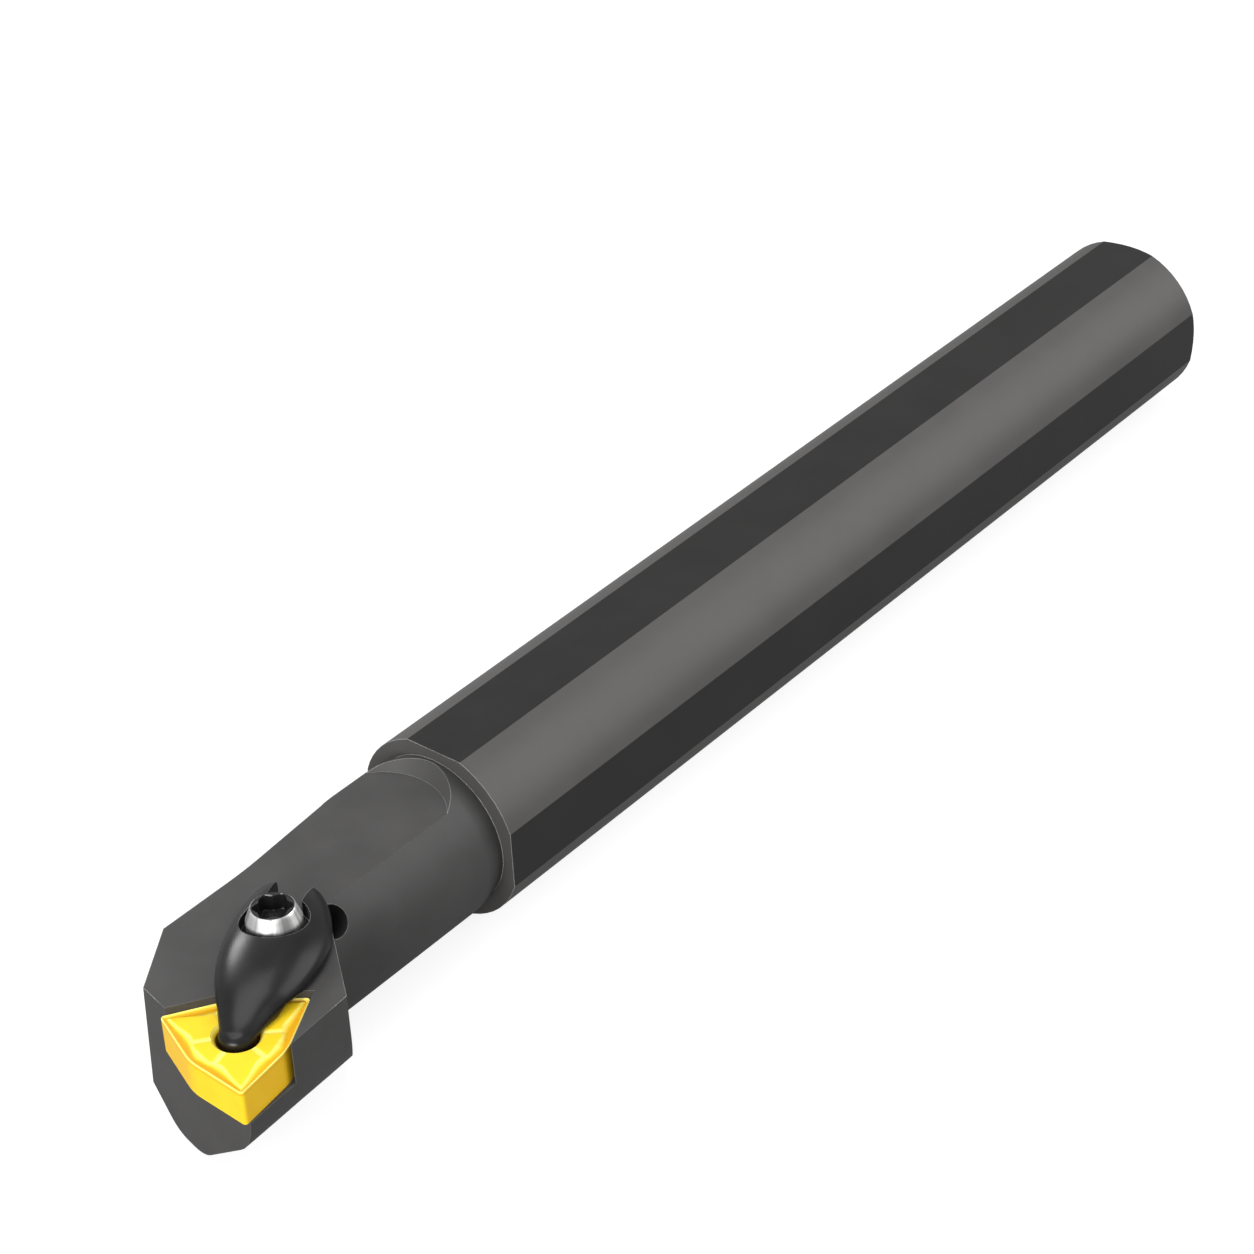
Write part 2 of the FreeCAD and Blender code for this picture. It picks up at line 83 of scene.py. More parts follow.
# %% Camera
VIEW_AZIMUTH = math.radians(-49.351)
VIEW_ELEVATION = math.radians(33.779)
VIEW_ROLL = math.radians(-3.118)
VIEW_PLACE = Vector((-396.537, -234.947, 250.537))
LENS_PX = 3336.37
IMAGE_PX = 1254
SENSOR = 36.0
CLIP_NEAR = 0.01
CLIP_FAR = 20.0


def make_camera():
    """Turn the fitted angles into a camera that looks along its own -Z."""
    back = Vector((math.sin(VIEW_AZIMUTH) * math.cos(VIEW_ELEVATION),
                   -math.cos(VIEW_AZIMUTH) * math.cos(VIEW_ELEVATION),
                   math.sin(VIEW_ELEVATION)))
    level = Vector((math.cos(VIEW_AZIMUTH), math.sin(VIEW_AZIMUTH), 0.0))
    upright = back.cross(level)
    right = level * math.cos(VIEW_ROLL) + upright * math.sin(VIEW_ROLL)
    up = upright * math.cos(VIEW_ROLL) - level * math.sin(VIEW_ROLL)
    data = bpy.data.cameras.new("camera")
    data.sensor_width = SENSOR
    data.lens = LENS_PX / IMAGE_PX * SENSOR
    data.clip_start, data.clip_end = CLIP_NEAR, CLIP_FAR
    camera = bpy.data.objects.new("camera", data)
    turn = Matrix((right, up, back)).transposed().to_4x4()
    camera.matrix_world = Matrix.Translation(VIEW_PLACE * MM) @ turn
    bpy.context.scene.collection.objects.link(camera)
    bpy.context.scene.camera = camera
    return camera


camera = make_camera()
bpy.context.scene.view_settings.view_transform = "Standard"
print("lens mm:", round(camera.data.lens, 2))


# %% [markdown]
# ## Shader maths as plain expressions
# A material in Blender is a graph. Math reads better as an expression, so a small class wraps a socket
# and adds one Math node for each operator. Every other node comes from one method, which takes the
# node's type, its settings and its inputs.

# %% Shader helpers
class Signal:
    """A number that varies over a surface; + - * add Math nodes."""

    def __init__(self, finish, socket):
        self.finish = finish
        self.socket = socket

    def maths(self, operation, first, second):
        return self.finish.node("ShaderNodeMath", {"operation": operation}, {0: first, 1: second})

    def __add__(self, other):
        return self.maths("ADD", self, other)

    def __sub__(self, other):
        return self.maths("SUBTRACT", self, other)

    def __rsub__(self, other):
        return self.maths("SUBTRACT", other, self)

    def __mul__(self, other):
        return self.maths("MULTIPLY", self, other)


class Finish:
    """A material under construction."""

    def __init__(self, name):
        self.material = bpy.data.materials.new(name)
        self.material.use_nodes = True
        self.tree = self.material.node_tree
        self.tree.nodes.clear()
        self.output = self.tree.nodes.new("ShaderNodeOutputMaterial")

    def node(self, kind, settings=None, inputs=None, out=0):
        """Add a node: settings first, then the values or links of its sockets."""
        made = self.tree.nodes.new(kind)
        for key, value in (settings or {}).items():
            setattr(made, key, value)
        for key, value in (inputs or {}).items():
            if isinstance(value, Signal):
                self.tree.links.new(value.socket, made.inputs[key])
            else:
                made.inputs[key].default_value = value
        return Signal(self, made.outputs[out])

    def surface(self, shader):
        self.tree.links.new(shader.socket, self.output.inputs["Surface"])
        return self.material

    def noise(self, scale, detail, stretch=(1.0, 1.0, 1.0)):
        """Noise on the object coordinates, stretched along each axis."""
        here = self.node("ShaderNodeTexCoord", out="Object")
        place = self.node("ShaderNodeMapping", inputs={"Vector": here, "Scale": stretch})
        return self.node("ShaderNodeTexNoise", inputs={"Vector": place, "Scale": scale, "Detail": detail})

    def along(self, axis):
        """One of the object coordinates, in millimetres."""
        here = self.node("ShaderNodeTexCoord", out="Object")
        return self.node("ShaderNodeSeparateXYZ", inputs={0: here}, out=axis) * (1 / MM)

    def limits(self, value, low, high, new_low=0.0, new_high=1.0):
        """Map a range to a new one, clamped at its ends."""
        return self.node("ShaderNodeMapRange", {"clamp": True}, {
            "Value": value, "From Min": low, "From Max": high, "To Min": new_low, "To Max": new_high})

    def blend(self, factor, first, second):
        """Mix two colours by a factor."""
        mixed = self.tree.nodes.new("ShaderNodeMix")
        mixed.data_type = "RGBA"
        for key, value in ((0, factor), (6, first), (7, second)):
            if isinstance(value, Signal):
                self.tree.links.new(value.socket, mixed.inputs[key])
            elif key == 0:
                mixed.inputs[key].default_value = value
            else:
                mixed.inputs[key].default_value = (*value, 1.0)
        return Signal(self, mixed.outputs[2])

    def rounded(self, radius):
        """The normal as if every edge were rounded by a radius in millimetres."""
        return self.node("ShaderNodeBevel", {"samples": 6}, {"Radius": radius * MM})

    def grain(self, height, strength, depth, normal=None):
        """A fine bump, its depth in millimetres, over the plain or a rounded normal."""
        inputs = {"Height": height, "Strength": strength, "Distance": depth * MM}
        if normal:
            inputs["Normal"] = normal
        return self.node("ShaderNodeBump", inputs=inputs)

    def edge(self, radius, low, high):
        """1 on convex and concave edges, 0 elsewhere: how far a rounded normal leaves the true one; it
        masks painted edge highlights.
        """
        rounded = self.rounded(radius)
        true = self.node("ShaderNodeNewGeometry", out="Normal")
        along = self.node("ShaderNodeVectorMath", {"operation": "DOT_PRODUCT"},
                          {0: rounded, 1: true}, out="Value")
        return self.limits(1.0 - along, low, high)


# %% [markdown]
# ## Finish of the bar
# The real bar is hardened steel with a dark, slightly warm oxide skin. The shank was ground round and the
# flats were milled after it. The round strips between the flats get a lighter colour than the flats, a
# painted sheen for the lamp light that they catch, and the head's colour lies between the two. A thin
# painted highlight of bright steel runs along the edges as a hair line, patchy along its length. The edge
# mask compares a rounded normal with the true one, so it needs no texture and follows every edge. Round
# the insert's pocket, whose edges lie in shade, the painted highlight is dimmed: painted shade.

# %% Bar finish
FLAT_DARK = (0.0128, 0.0123, 0.0121)
FLAT_LIGHT = (0.0160, 0.0154, 0.0151)
# Colours of the round strips: a painted sheen for the lamp light the strips catch.
STRIP_PAINTED_SHEEN_DARK = (0.071, 0.0683, 0.0670)
STRIP_PAINTED_SHEEN_LIGHT = (0.078, 0.0751, 0.0736)
HEAD_DARK = (0.049, 0.0475, 0.0468)
HEAD_LIGHT = (0.059, 0.0572, 0.0564)
FLATS_HALF_HEIGHT = 23.5 / 2
FLATS_HALF_WIDTH = 23.7 / 2
FLAT_BEGINS = (0.995, 0.999)
POCKET_SQUARES = (100.0, 130.0)
# Colour of the thin painted highlight along the edges.
EDGE_HIGHLIGHT_STEEL = (0.75, 0.74, 0.73)


def bar_finish():
    finish = Finish("bar_oxide")
    clouds = finish.noise(140.0, 4.0)
    specks = finish.noise(3800.0, 2.0)
    patches = finish.limits(clouds, 0.35, 0.65)
    head = finish.limits(finish.along("X"), SHOULDER_X - 0.2, SHOULDER_X + 0.1, 1.0, 0.0)
    up = finish.along("Z") * (1 / FLATS_HALF_HEIGHT)
    side = finish.along("Y") * (1 / FLATS_HALF_WIDTH)
    below_top = finish.limits(up * up, *FLAT_BEGINS, 1.0, 0.0)
    within_sides = finish.limits(side * side, *FLAT_BEGINS, 1.0, 0.0)
    flats = finish.blend(patches, FLAT_DARK, FLAT_LIGHT)
    # The strips' lighter colour is a painted sheen for the lamp light they catch.
    painted_sheen_strips = finish.blend(patches, STRIP_PAINTED_SHEEN_DARK, STRIP_PAINTED_SHEEN_LIGHT)
    shank = finish.blend(below_top * within_sides, flats, painted_sheen_strips)
    skin = finish.blend(head, shank, finish.blend(patches, HEAD_DARK, HEAD_LIGHT))
    rearward = finish.along("X") - INSERT_CENTRE.x
    sideways = finish.along("Y") - INSERT_CENTRE.y
    from_insert = rearward * rearward + sideways * sideways
    # The edges get a painted highlight of bright steel, patchy, and dimmed as painted shade round the
    # pocket.
    beyond_pocket_shade = finish.limits(from_insert, *POCKET_SQUARES, 0.25, 1.0)
    highlight_patches = finish.limits(clouds, 0.25, 0.6, 0.25, 0.7)
    edge = finish.edge(0.20, 0.125, 0.24) * highlight_patches * beyond_pocket_shade
    rough = finish.limits(clouds, 0.3, 0.7, 0.39, 0.43) + finish.limits(specks, 0.3, 0.7, -0.02, 0.02)
    shader = finish.node("ShaderNodeBsdfPrincipled", inputs={
        "Base Color": finish.blend(edge, skin, EDGE_HIGHLIGHT_STEEL), "Roughness": rough + head * 0.08,
        "Metallic": 0.0, "Specular IOR Level": 0.32,
        "Normal": finish.grain(specks, 0.10, 0.04, finish.rounded(0.10))})
    return finish.surface(shader)


def dress(node, material):
    """Give a CAD node's object its new material."""
    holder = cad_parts[node]
    holder.data.materials.clear()
    holder.data.materials.append(material)


dress("bar_body", bar_finish())


# %% [markdown]
# ## Skins made of rings
# An insert, a screw and a clamp are all closed skins: rings of points, joined to their neighbours. One
# helper takes the rings, joins them, and closes both ends either onto each other or onto a middle point.

# %% Ring skins
def skin_of_rings(name, rings, loop=False):
    """Join rings of equal length into one closed mesh, in metres. Returns the object."""
    rings = np.asarray(rings, float)
    count, steps = rings.shape[0], rings.shape[1]
    points = (rings.reshape(-1, 3) * MM).tolist()
    faces = []
    for ring in range(count if loop else count - 1):
        low, high = ring * steps, ((ring + 1) % count) * steps
        for step in range(steps):
            after = (step + 1) % steps
            faces.append((low + step, low + after, high + after, high + step))
    if not loop:
        for ring, turn in ((0, -1), (count - 1, 1)):
            middle = len(points)
            points.append((rings[ring].mean(axis=0) * MM).tolist())
            for step in range(steps):
                pair = (ring * steps + step, ring * steps + (step + 1) % steps)
                faces.append((middle, *pair[::turn]))
    mesh = bpy.data.meshes.new(name)
    mesh.from_pydata(points, [], faces)
    made = bpy.data.objects.new(name, mesh)
    bpy.context.scene.collection.objects.link(made)
    mend = bmesh.new()
    mend.from_mesh(mesh)
    bmesh.ops.recalc_face_normals(mend, faces=mend.faces)
    mend.to_mesh(mesh)
    mend.free()
    return made


def smooth_by_angle(piece, degrees):
    """Shade smooth, but keep edges sharper than the angle crisp."""
    piece.data.shade_smooth()
    piece.data.set_sharp_from_angle(angle=math.radians(degrees))


def placed(points, centre, turn):
    """Turn local points about Z and move them to their centre, in millimetres."""
    points = np.asarray(points, float)
    cosine, sine = math.cos(turn), math.sin(turn)
    moved = np.empty_like(points)
    moved[..., 0] = centre.x + cosine * points[..., 0] - sine * points[..., 1]
    moved[..., 1] = centre.y + sine * points[..., 0] + cosine * points[..., 1]
    moved[..., 2] = centre.z + points[..., 2]
    return moved


# %% [markdown]
# ## The insert
# The insert is pressed and sintered carbide with a thin yellow coating. Its outline has three cutting
# corners of 80 degrees and three blunt ones of 160, all round one circle. Each corner's top repeats the
# same relief: a narrow land along the edge, a groove that curls the chip, a bank that swells and narrows,
# and a raised island with shallow valleys. The outline and the relief follow from distances to the six
# edges, so both come from one rule.

# %% Insert shape
SHARP_CORNERS = np.radians((225.0, 345.0, 105.0))
EDGE_LEAN = math.radians(50.0)
CORNER_TO_HEEL = math.radians(60.0)
NOSE_RADIUS = 0.4
HEEL_RADIUS = 8.0
HONE = 0.05
BORE_BEVEL = 0.42
BORE_RADIUS = 5.16 / 2
BORE_MOUTH = 3.0
LAND = 0.13
GROOVE_WALL = 0.20
GROOVE_DEPTH = 0.40
BANK = 0.50
BANK_WAVE = 0.50
ISLAND_RISE = 0.06
VALLEY_BEARING = math.radians(33.0)
VALLEY_HALF_WIDTH = 0.45
VALLEY_DEPTH = 0.10


def from_corner(angle):
    """The signed angle to the nearest sharp corner."""
    offsets = (angle[..., None] - SHARP_CORNERS + math.pi) % (2 * math.pi) - math.pi
    nearest = np.abs(offsets).argmin(axis=-1)
    return np.take_along_axis(offsets, nearest[..., None], axis=-1)[..., 0]


def outline_radius(angle):
    """Distance from the insert's middle to its outline, rounded at sharp and blunt corners."""
    offset = np.abs(from_corner(angle))
    outline = INSERT_IN_RADIUS / np.cos(EDGE_LEAN - offset)
    hub = (INSERT_IN_RADIUS - NOSE_RADIUS) / math.cos(EDGE_LEAN)
    inside = np.clip(NOSE_RADIUS ** 2 - (hub * np.sin(offset)) ** 2, 0.0, None)
    nose = hub * np.cos(offset) + np.sqrt(inside)
    nose_ends = math.atan2(NOSE_RADIUS * math.sin(EDGE_LEAN), hub + NOSE_RADIUS * math.cos(EDGE_LEAN))
    outline = np.where(offset < nose_ends, nose, outline)
    lean = CORNER_TO_HEEL - EDGE_LEAN
    from_heel = CORNER_TO_HEEL - offset
    hub = (INSERT_IN_RADIUS - HEEL_RADIUS) / math.cos(lean)
    heel = hub * np.cos(from_heel) + np.sqrt(HEEL_RADIUS ** 2 - (hub * np.sin(from_heel)) ** 2)
    heel_ends = math.atan2(HEEL_RADIUS * math.sin(lean), hub + HEEL_RADIUS * math.cos(lean))
    return np.where(from_heel < heel_ends, heel, outline)


def ramp(value, low, high):
    """0 below low, 1 above high, straight between."""
    return np.clip((value - low) / (high - low), 0.0, 1.0)


def top_relief(angle, radius):
    """Height of the insert's top over its land."""
    offset = np.abs(from_corner(angle))
    share = offset / CORNER_TO_HEEL
    to_outline = outline_radius(angle) - radius
    inward = np.minimum(to_outline, INSERT_IN_RADIUS - radius * np.cos(EDGE_LEAN - offset))
    bank_foot = 0.35 + 0.50 * np.sin(math.pi * share) + 0.15 * share
    bank_width = BANK + BANK_WAVE * np.sin(1.5 * math.pi * share) ** 2
    groove = -GROOVE_DEPTH * ramp(inward, LAND, LAND + GROOVE_WALL)
    bank = ramp(inward, bank_foot, bank_foot + bank_width)
    from_valley = np.abs(radius * (offset - VALLEY_BEARING))
    valley = VALLEY_DEPTH * ramp(VALLEY_HALF_WIDTH - from_valley, 0.0, VALLEY_HALF_WIDTH)
    return groove + (GROOVE_DEPTH + ISLAND_RISE) * bank - valley * bank


def insert_piece():
    """One closed skin: up the bore, out over the relief, down the flank and back along the underside."""
    angle = np.linspace(0.0, 2 * math.pi, 480, endpoint=False)
    bore = np.full(angle.shape, BORE_RADIUS)
    mouth = np.full(angle.shape, BORE_MOUTH)
    rim = outline_radius(angle)
    rings = []

    def ring(radius, height):
        height = np.broadcast_to(height, angle.shape)
        rings.append(np.stack([radius * np.cos(angle), radius * np.sin(angle), height], axis=-1))

    ring(bore, -INSERT_THICK + BORE_BEVEL)
    ring(bore, -BORE_BEVEL)
    ring(mouth, 0.0)
    for share in np.linspace(0.0, 1.0, 62)[1:]:
        radius = mouth + (rim - LAND - mouth) * share
        ring(radius, top_relief(angle, radius))
    ring(rim - HONE, 0.0)
    ring(rim, -HONE)
    ring(rim, -INSERT_THICK + HONE)
    ring(rim - HONE, -INSERT_THICK)
    ring(mouth, -INSERT_THICK)
    piece = skin_of_rings("insert_carbide", placed(rings, INSERT_CENTRE, INSERT_TURN), loop=True)
    smooth_by_angle(piece, 24)
    return piece


# %% [markdown]
# ## Finish of the insert
# The coating is a thin bright yellow layer, a little glossy, over a fine sintered grain, with a little
# random mottle. Painted shade deepens its tone in the groove and on the side flanks, and a painted
# highlight makes it paler on the bank and along the cutting edges. The height against the land and the
# place along the bar tell these parts from each other.

# %% Insert finish
COATING = (0.92, 0.645, 0.022)
# Deeper orange for painted shade, and for a little random mottle.
COATING_SHADE_AND_MOTTLE = (0.80, 0.37, 0.006)
# Pale yellow for the painted highlights.
COATING_HIGHLIGHT = (1.0, 0.95, 0.26)


def insert_finish():
    finish = Finish("insert_coating")
    grain = finish.noise(5200.0, 3.0)
    height = finish.along("Z") - INSERT_CENTRE.z
    rearward = finish.along("X") - INSERT_CENTRE.x
    flank = finish.limits(height, -0.60, -0.50, 1.0, 0.0)
    # Painted shade: deeper in the groove and on the side flanks.
    groove = finish.limits(height, -0.40, -0.24, 0.75, 0.0) * (1.0 - flank * 0.85)
    bank = finish.limits(height, -0.26, -0.10) * finish.limits(height, 0.0, ISLAND_RISE, 1.0, 0.0)
    flank_shade = flank * finish.limits(rearward, -6.4, -5.9, 0.0, 0.30)
    clouds = finish.limits(finish.noise(420.0, 3.0), 0.4, 0.7, 0.0, 0.12)
    colour = finish.blend(groove + flank_shade + clouds, COATING, COATING_SHADE_AND_MOTTLE)
    # Painted highlight: paler on the bank and along the cutting edges.
    colour = finish.blend(bank * 0.60, colour, COATING_HIGHLIGHT)
    colour = finish.blend(finish.edge(0.11, 0.02, 0.12), colour, COATING_HIGHLIGHT)
    shader = finish.node("ShaderNodeBsdfPrincipled", inputs={
        "Base Color": colour, "Roughness": finish.limits(grain, 0.3, 0.7, 0.30, 0.42),
        "Metallic": 0.0, "Specular IOR Level": 0.20,
        "Normal": finish.grain(grain, 0.08, 0.03, finish.rounded(0.05))})
    return finish.surface(shader)


insert = insert_piece()
insert.data.materials.append(insert_finish())
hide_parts("insert")
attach(insert, "bar")
print("insert triangles:", 2 * len(insert.data.polygons))


# %% [markdown]
# ## The clamp
# The clamp is a small forging. Seen from above it is a drop: round at the screw and narrowing to a nose
# that hooks down into the insert's hole. A recess takes the screw's head, and a gap behind it leaves two
# prongs. The drop is built as a stack of half-oval sections, and its nose is turned as on a lathe.

# %% Clamp shape
CLAMP_LOW = 0.3
CLAMP_TOP = 12.0
CLAMP_TAIL = 8.2
CLAMP_SKIRT = 0.08
CLAMP_FULLNESS = 2.15
CLAMP_TIP = -CLAMP_REACH - 1.9
TIP_LOW = -1.3
NOSE_HALF = 2.2
NOSE_LOW = -3.0
HEEL_LOW = -0.62
HEEL_START = -11.2
HEEL_SLOPE = 1.2
RECESS_RADIUS = 8.3 / 2
RECESS_FLOOR = 1.2
SCREW_WAY_RADIUS = 2.2
PRONG_GAP = 4.5
PRONGS_BEGIN = 5.0


def clamp_sections():
    """Half-oval sections: place along the clamp, half width, height of the crown, place of the middle."""
    stations = np.array([
        (CLAMP_TAIL, 3.0, 2.2, 0.30),
        (7.3, 4.0, 2.75, 0.35),
        (4.3, 5.25, 3.45, -0.10),
        (0.0, 6.15, 3.8, -0.50),
        (-4.0, 6.2, 3.85, -0.60),
        (-7.5, 5.6, 3.5, -0.55),
        (-10.4, 4.6, 2.9, -0.45),
        (-13.0, 3.4, 2.0, -0.30),
        (-CLAMP_REACH, 2.3, 0.8, -0.20),
        (CLAMP_TIP, 1.2, -0.6, -0.10),
    ])
    knots = np.arange(len(stations), dtype=float)
    fine = np.linspace(0.0, knots[-1], 91)
    return np.stack([natural_curve(knots, stations[:, column], fine) for column in range(4)], axis=-1)


def natural_curve(knots, values, fine):
    """A smooth curve through values at whole-number knots (Catmull-Rom)."""
    values = np.concatenate([[2 * values[0] - values[1]], values, [2 * values[-1] - values[-2]]])
    index = np.clip(fine.astype(int), 0, len(knots) - 2)
    t = fine - index
    a, b, c, d = (values[index + step] for step in range(4))
    bend = 2 * a - 5 * b + 4 * c - d
    twist = 3 * b - a - 3 * c + d
    return 0.5 * (2 * b + (c - a) * t + bend * t ** 2 + twist * t ** 3)


def clamp_block():
    """The drop: one ring per section, over the roof and back along the underside."""
    roof = np.linspace(0.0, math.pi, 33)
    across = np.sign(np.cos(roof)) * np.abs(np.cos(roof)) ** (2 / CLAMP_FULLNESS)
    over = np.abs(np.sin(roof)) ** (2 / CLAMP_FULLNESS)
    back = -np.cos(np.linspace(0.0, math.pi, 17))
    heel_places = (HEEL_START - HEEL_SLOPE, HEEL_START)
    rings = []
    for place, half, crown, middle in clamp_sections():
        low = np.interp(place, (CLAMP_TIP, HEEL_START), (TIP_LOW, CLAMP_LOW))
        foot = min(low, np.interp(place, heel_places, (HEEL_LOW, CLAMP_LOW)))
        spring_line = low + CLAMP_SKIRT * (crown - low)
        top = [(place, middle + half * u, spring_line + (crown - spring_line) * v)
               for u, v in zip(across, over)]
        under = [(place, middle + half * u, foot) for u in back]
        rings.append(top + under)
    return skin_of_rings("clamp_block", placed(rings, SCREW_CENTRE, CLAMP_TURN))


def turned(name, profile, centre, steps=96):
    """A lathe shape from (radius, height) pairs about a vertical axis."""
    angle = np.linspace(0.0, 2 * math.pi, steps, endpoint=False)
    rings = [np.stack([radius * np.cos(angle), radius * np.sin(angle), np.full(steps, height)], axis=-1)
             for radius, height in profile]
    return skin_of_rings(name, placed(rings, centre, 0.0))


def clamp_nose():
    """The hook: a pin down into the insert's hole."""
    hole = Vector((INSERT_CENTRE.x, INSERT_CENTRE.y, DECK_Z))
    profile = [(NOSE_HALF - 0.5, NOSE_LOW), (NOSE_HALF, NOSE_LOW + 0.8),
               (NOSE_HALF, HEEL_LOW), (NOSE_HALF - 0.7, 0.0)]
    return turned("clamp_nose", profile, hole)


# %% [markdown]
# ## Joining and cutting the clamp
# A forging shows no seam between its parts, so the drop and the nose are joined, melted into one skin by a
# voxel remesh and smoothed. The machined surfaces come after that: the recess for the screw's head, the
# gap that leaves the prongs and the way for the screw are cut out sharp, one tool after another.

# %% Clamp cuts
def joined(name, pieces):
    """Join meshes into one object."""
    bpy.ops.object.select_all(action="DESELECT")
    for piece in pieces:
        piece.select_set(True)
    bpy.context.view_layer.objects.active = pieces[0]
    bpy.ops.object.join()
    pieces[0].name = name
    return pieces[0]


def applied(piece, kind, **settings):
    """Add a modifier, make its result plain, and drop it."""
    modifier = piece.modifiers.new(kind.lower(), kind)
    for key, value in settings.items():
        setattr(modifier, key, value)
    bpy.context.view_layer.objects.active = piece
    bpy.ops.object.modifier_apply(modifier=modifier.name)


def slab(name, low, high, centre, turn):
    """A box from its low to its high corner."""
    corners = ((low[0], low[1]), (high[0], low[1]), (high[0], high[1]), (low[0], high[1]))
    rings = [[(x, y, z) for x, y in corners] for z in (low[2], high[2])]
    return skin_of_rings(name, placed(rings, centre, turn))


def cut_out(piece, tool):
    applied(piece, "BOOLEAN", object=tool, operation="DIFFERENCE", solver="EXACT")
    bpy.data.objects.remove(tool)


def gap_tool(name, begin, bottom):
    """A slab as wide as the gap between the prongs, from a place to well behind the clamp."""
    half = PRONG_GAP / 2
    return slab(name, (begin, -half, bottom), (3 * CLAMP_TAIL, half, CLAMP_TOP), SCREW_CENTRE, CLAMP_TURN)


def clamp_piece():
    clamp = joined("clamp_forging", [clamp_block(), clamp_nose()])
    applied(clamp, "REMESH", mode="VOXEL", voxel_size=0.17 * MM)
    applied(clamp, "SMOOTH", factor=0.5, iterations=10)
    recess = [(RECESS_RADIUS, RECESS_FLOOR), (RECESS_RADIUS, CLAMP_TOP)]
    cut_out(clamp, turned("recess_tool", recess, SCREW_CENTRE, 128))
    cut_out(clamp, gap_tool("slot_tool", 0, RECESS_FLOOR))
    cut_out(clamp, gap_tool("gap_tool", PRONGS_BEGIN, -1))
    way = [(SCREW_WAY_RADIUS, -2.0), (SCREW_WAY_RADIUS, CLAMP_TOP)]
    cut_out(clamp, turned("way_tool", way, SCREW_CENTRE, 64))
    smooth_by_angle(clamp, 38)
    return clamp


# %% [markdown]
# ## Finish of the clamp
# The clamp is blued nearly black, smoother than the bar, so it takes broad soft highlights. Its rims carry
# a thin painted highlight of bright steel, patchy along their length.

# %% Clamp finish
BLUED_DARK = (0.0060, 0.0060, 0.0063)
BLUED_LIGHT = (0.0100, 0.0100, 0.0103)


def clamp_finish():
    finish = Finish("clamp_blued")
    clouds = finish.noise(260.0, 4.0)
    specks = finish.noise(4200.0, 2.0)
    skin = finish.blend(finish.limits(clouds, 0.35, 0.65), BLUED_DARK, BLUED_LIGHT)
    # The rims carry a thin painted highlight of bright steel, patchy along their length.
    edge = finish.edge(0.12, 0.10, 0.30) * finish.limits(clouds, 0.3, 0.6, 0.25, 0.8)
    shader = finish.node("ShaderNodeBsdfPrincipled", inputs={
        "Base Color": finish.blend(edge, skin, EDGE_HIGHLIGHT_STEEL),
        "Roughness": finish.limits(clouds, 0.3, 0.7, 0.27, 0.33),
        "Metallic": 0.0, "Specular IOR Level": 0.33,
        "Normal": finish.grain(specks, 0.10, 0.03, finish.rounded(0.10))})
    return finish.surface(shader)


clamp = clamp_piece()
clamp.data.materials.clear()
clamp.data.materials.append(clamp_finish())
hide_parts("clamp")
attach(clamp, "clamp")
print("clamp faces:", len(clamp.data.polygons))


# %% [markdown]
# ## The clamp screw
# The screw's head is a bright turned bevel under a dark top ring, with a six-lobe socket. Its shank has
# a metric thread. Every ring is a circle, a six-lobe wave or a screw line, so one helper skins it all. The
# rings start in the socket, which makes the dark bands the first ones.

# %% Screw shape
SCREW_BASE = RECESS_FLOOR + 0.1
SCREW_REST_TURN = 0.25
HEAD_HEIGHT = 3.8
HEAD_RADIUS = 6.7 / 2
CROWN_RADIUS = 5.3 / 2
BEVEL_HEIGHT = 1.8
SOCKET_MEAN = 2.18
SOCKET_WAVE = 0.22
SOCKET_DEPTH = 2.2
SOCKET_DIP = 0.35
THREAD_RADIUS = 2.0
THREAD_DEPTH = 0.38
THREAD_PITCH = 0.7
THREAD_START = 2.0
SCREW_LENGTH = 16.0


def screw_rings():
    """All rings from the socket's floor to the tip, and how many of them bound dark faces."""
    angle = np.linspace(0.0, 2 * math.pi, 144, endpoint=False)
    top = SCREW_BASE + HEAD_HEIGHT
    rings = []

    def ring(radius, height):
        radius = np.broadcast_to(radius, angle.shape)
        height = np.broadcast_to(height, angle.shape)
        rings.append(np.stack([radius * np.cos(angle), radius * np.sin(angle), height], axis=-1))

    lobes = SOCKET_MEAN + SOCKET_WAVE * np.cos(6 * angle)
    for share in (0.08, 0.35, 0.7, 0.97):
        ring(lobes * share, top - SOCKET_DEPTH - SOCKET_DIP * (1 - share))
    ring(lobes, top - SOCKET_DEPTH + 0.08)
    ring(lobes, top - 0.12)
    ring(lobes + 0.08, top)
    ring(CROWN_RADIUS - 0.10, top)
    dark = len(rings)
    ring(CROWN_RADIUS, top - 0.08)
    for share in np.linspace(0.12, 1.0, 6):
        ring(CROWN_RADIUS + (HEAD_RADIUS - CROWN_RADIUS) * share, top - BEVEL_HEIGHT * share)
    ring(HEAD_RADIUS, top - BEVEL_HEIGHT - 0.1)
    ring(HEAD_RADIUS, SCREW_BASE + 0.15)
    ring(HEAD_RADIUS - 0.15, SCREW_BASE)
    ring(THREAD_RADIUS - 0.05, SCREW_BASE)
    start = SCREW_BASE - THREAD_START
    end = SCREW_BASE - SCREW_LENGTH
    ring(THREAD_RADIUS - 0.05, start + 0.4)
    for height in np.arange(start, end + 0.5, -THREAD_PITCH / 8):
        phase = (height / THREAD_PITCH - angle / (2 * math.pi)) % 1.0
        wave = 1.0 - np.abs(2.0 * phase - 1.0)
        ring(THREAD_RADIUS - THREAD_DEPTH * wave, height)
    ring(THREAD_RADIUS - 0.45, end)
    return rings, dark


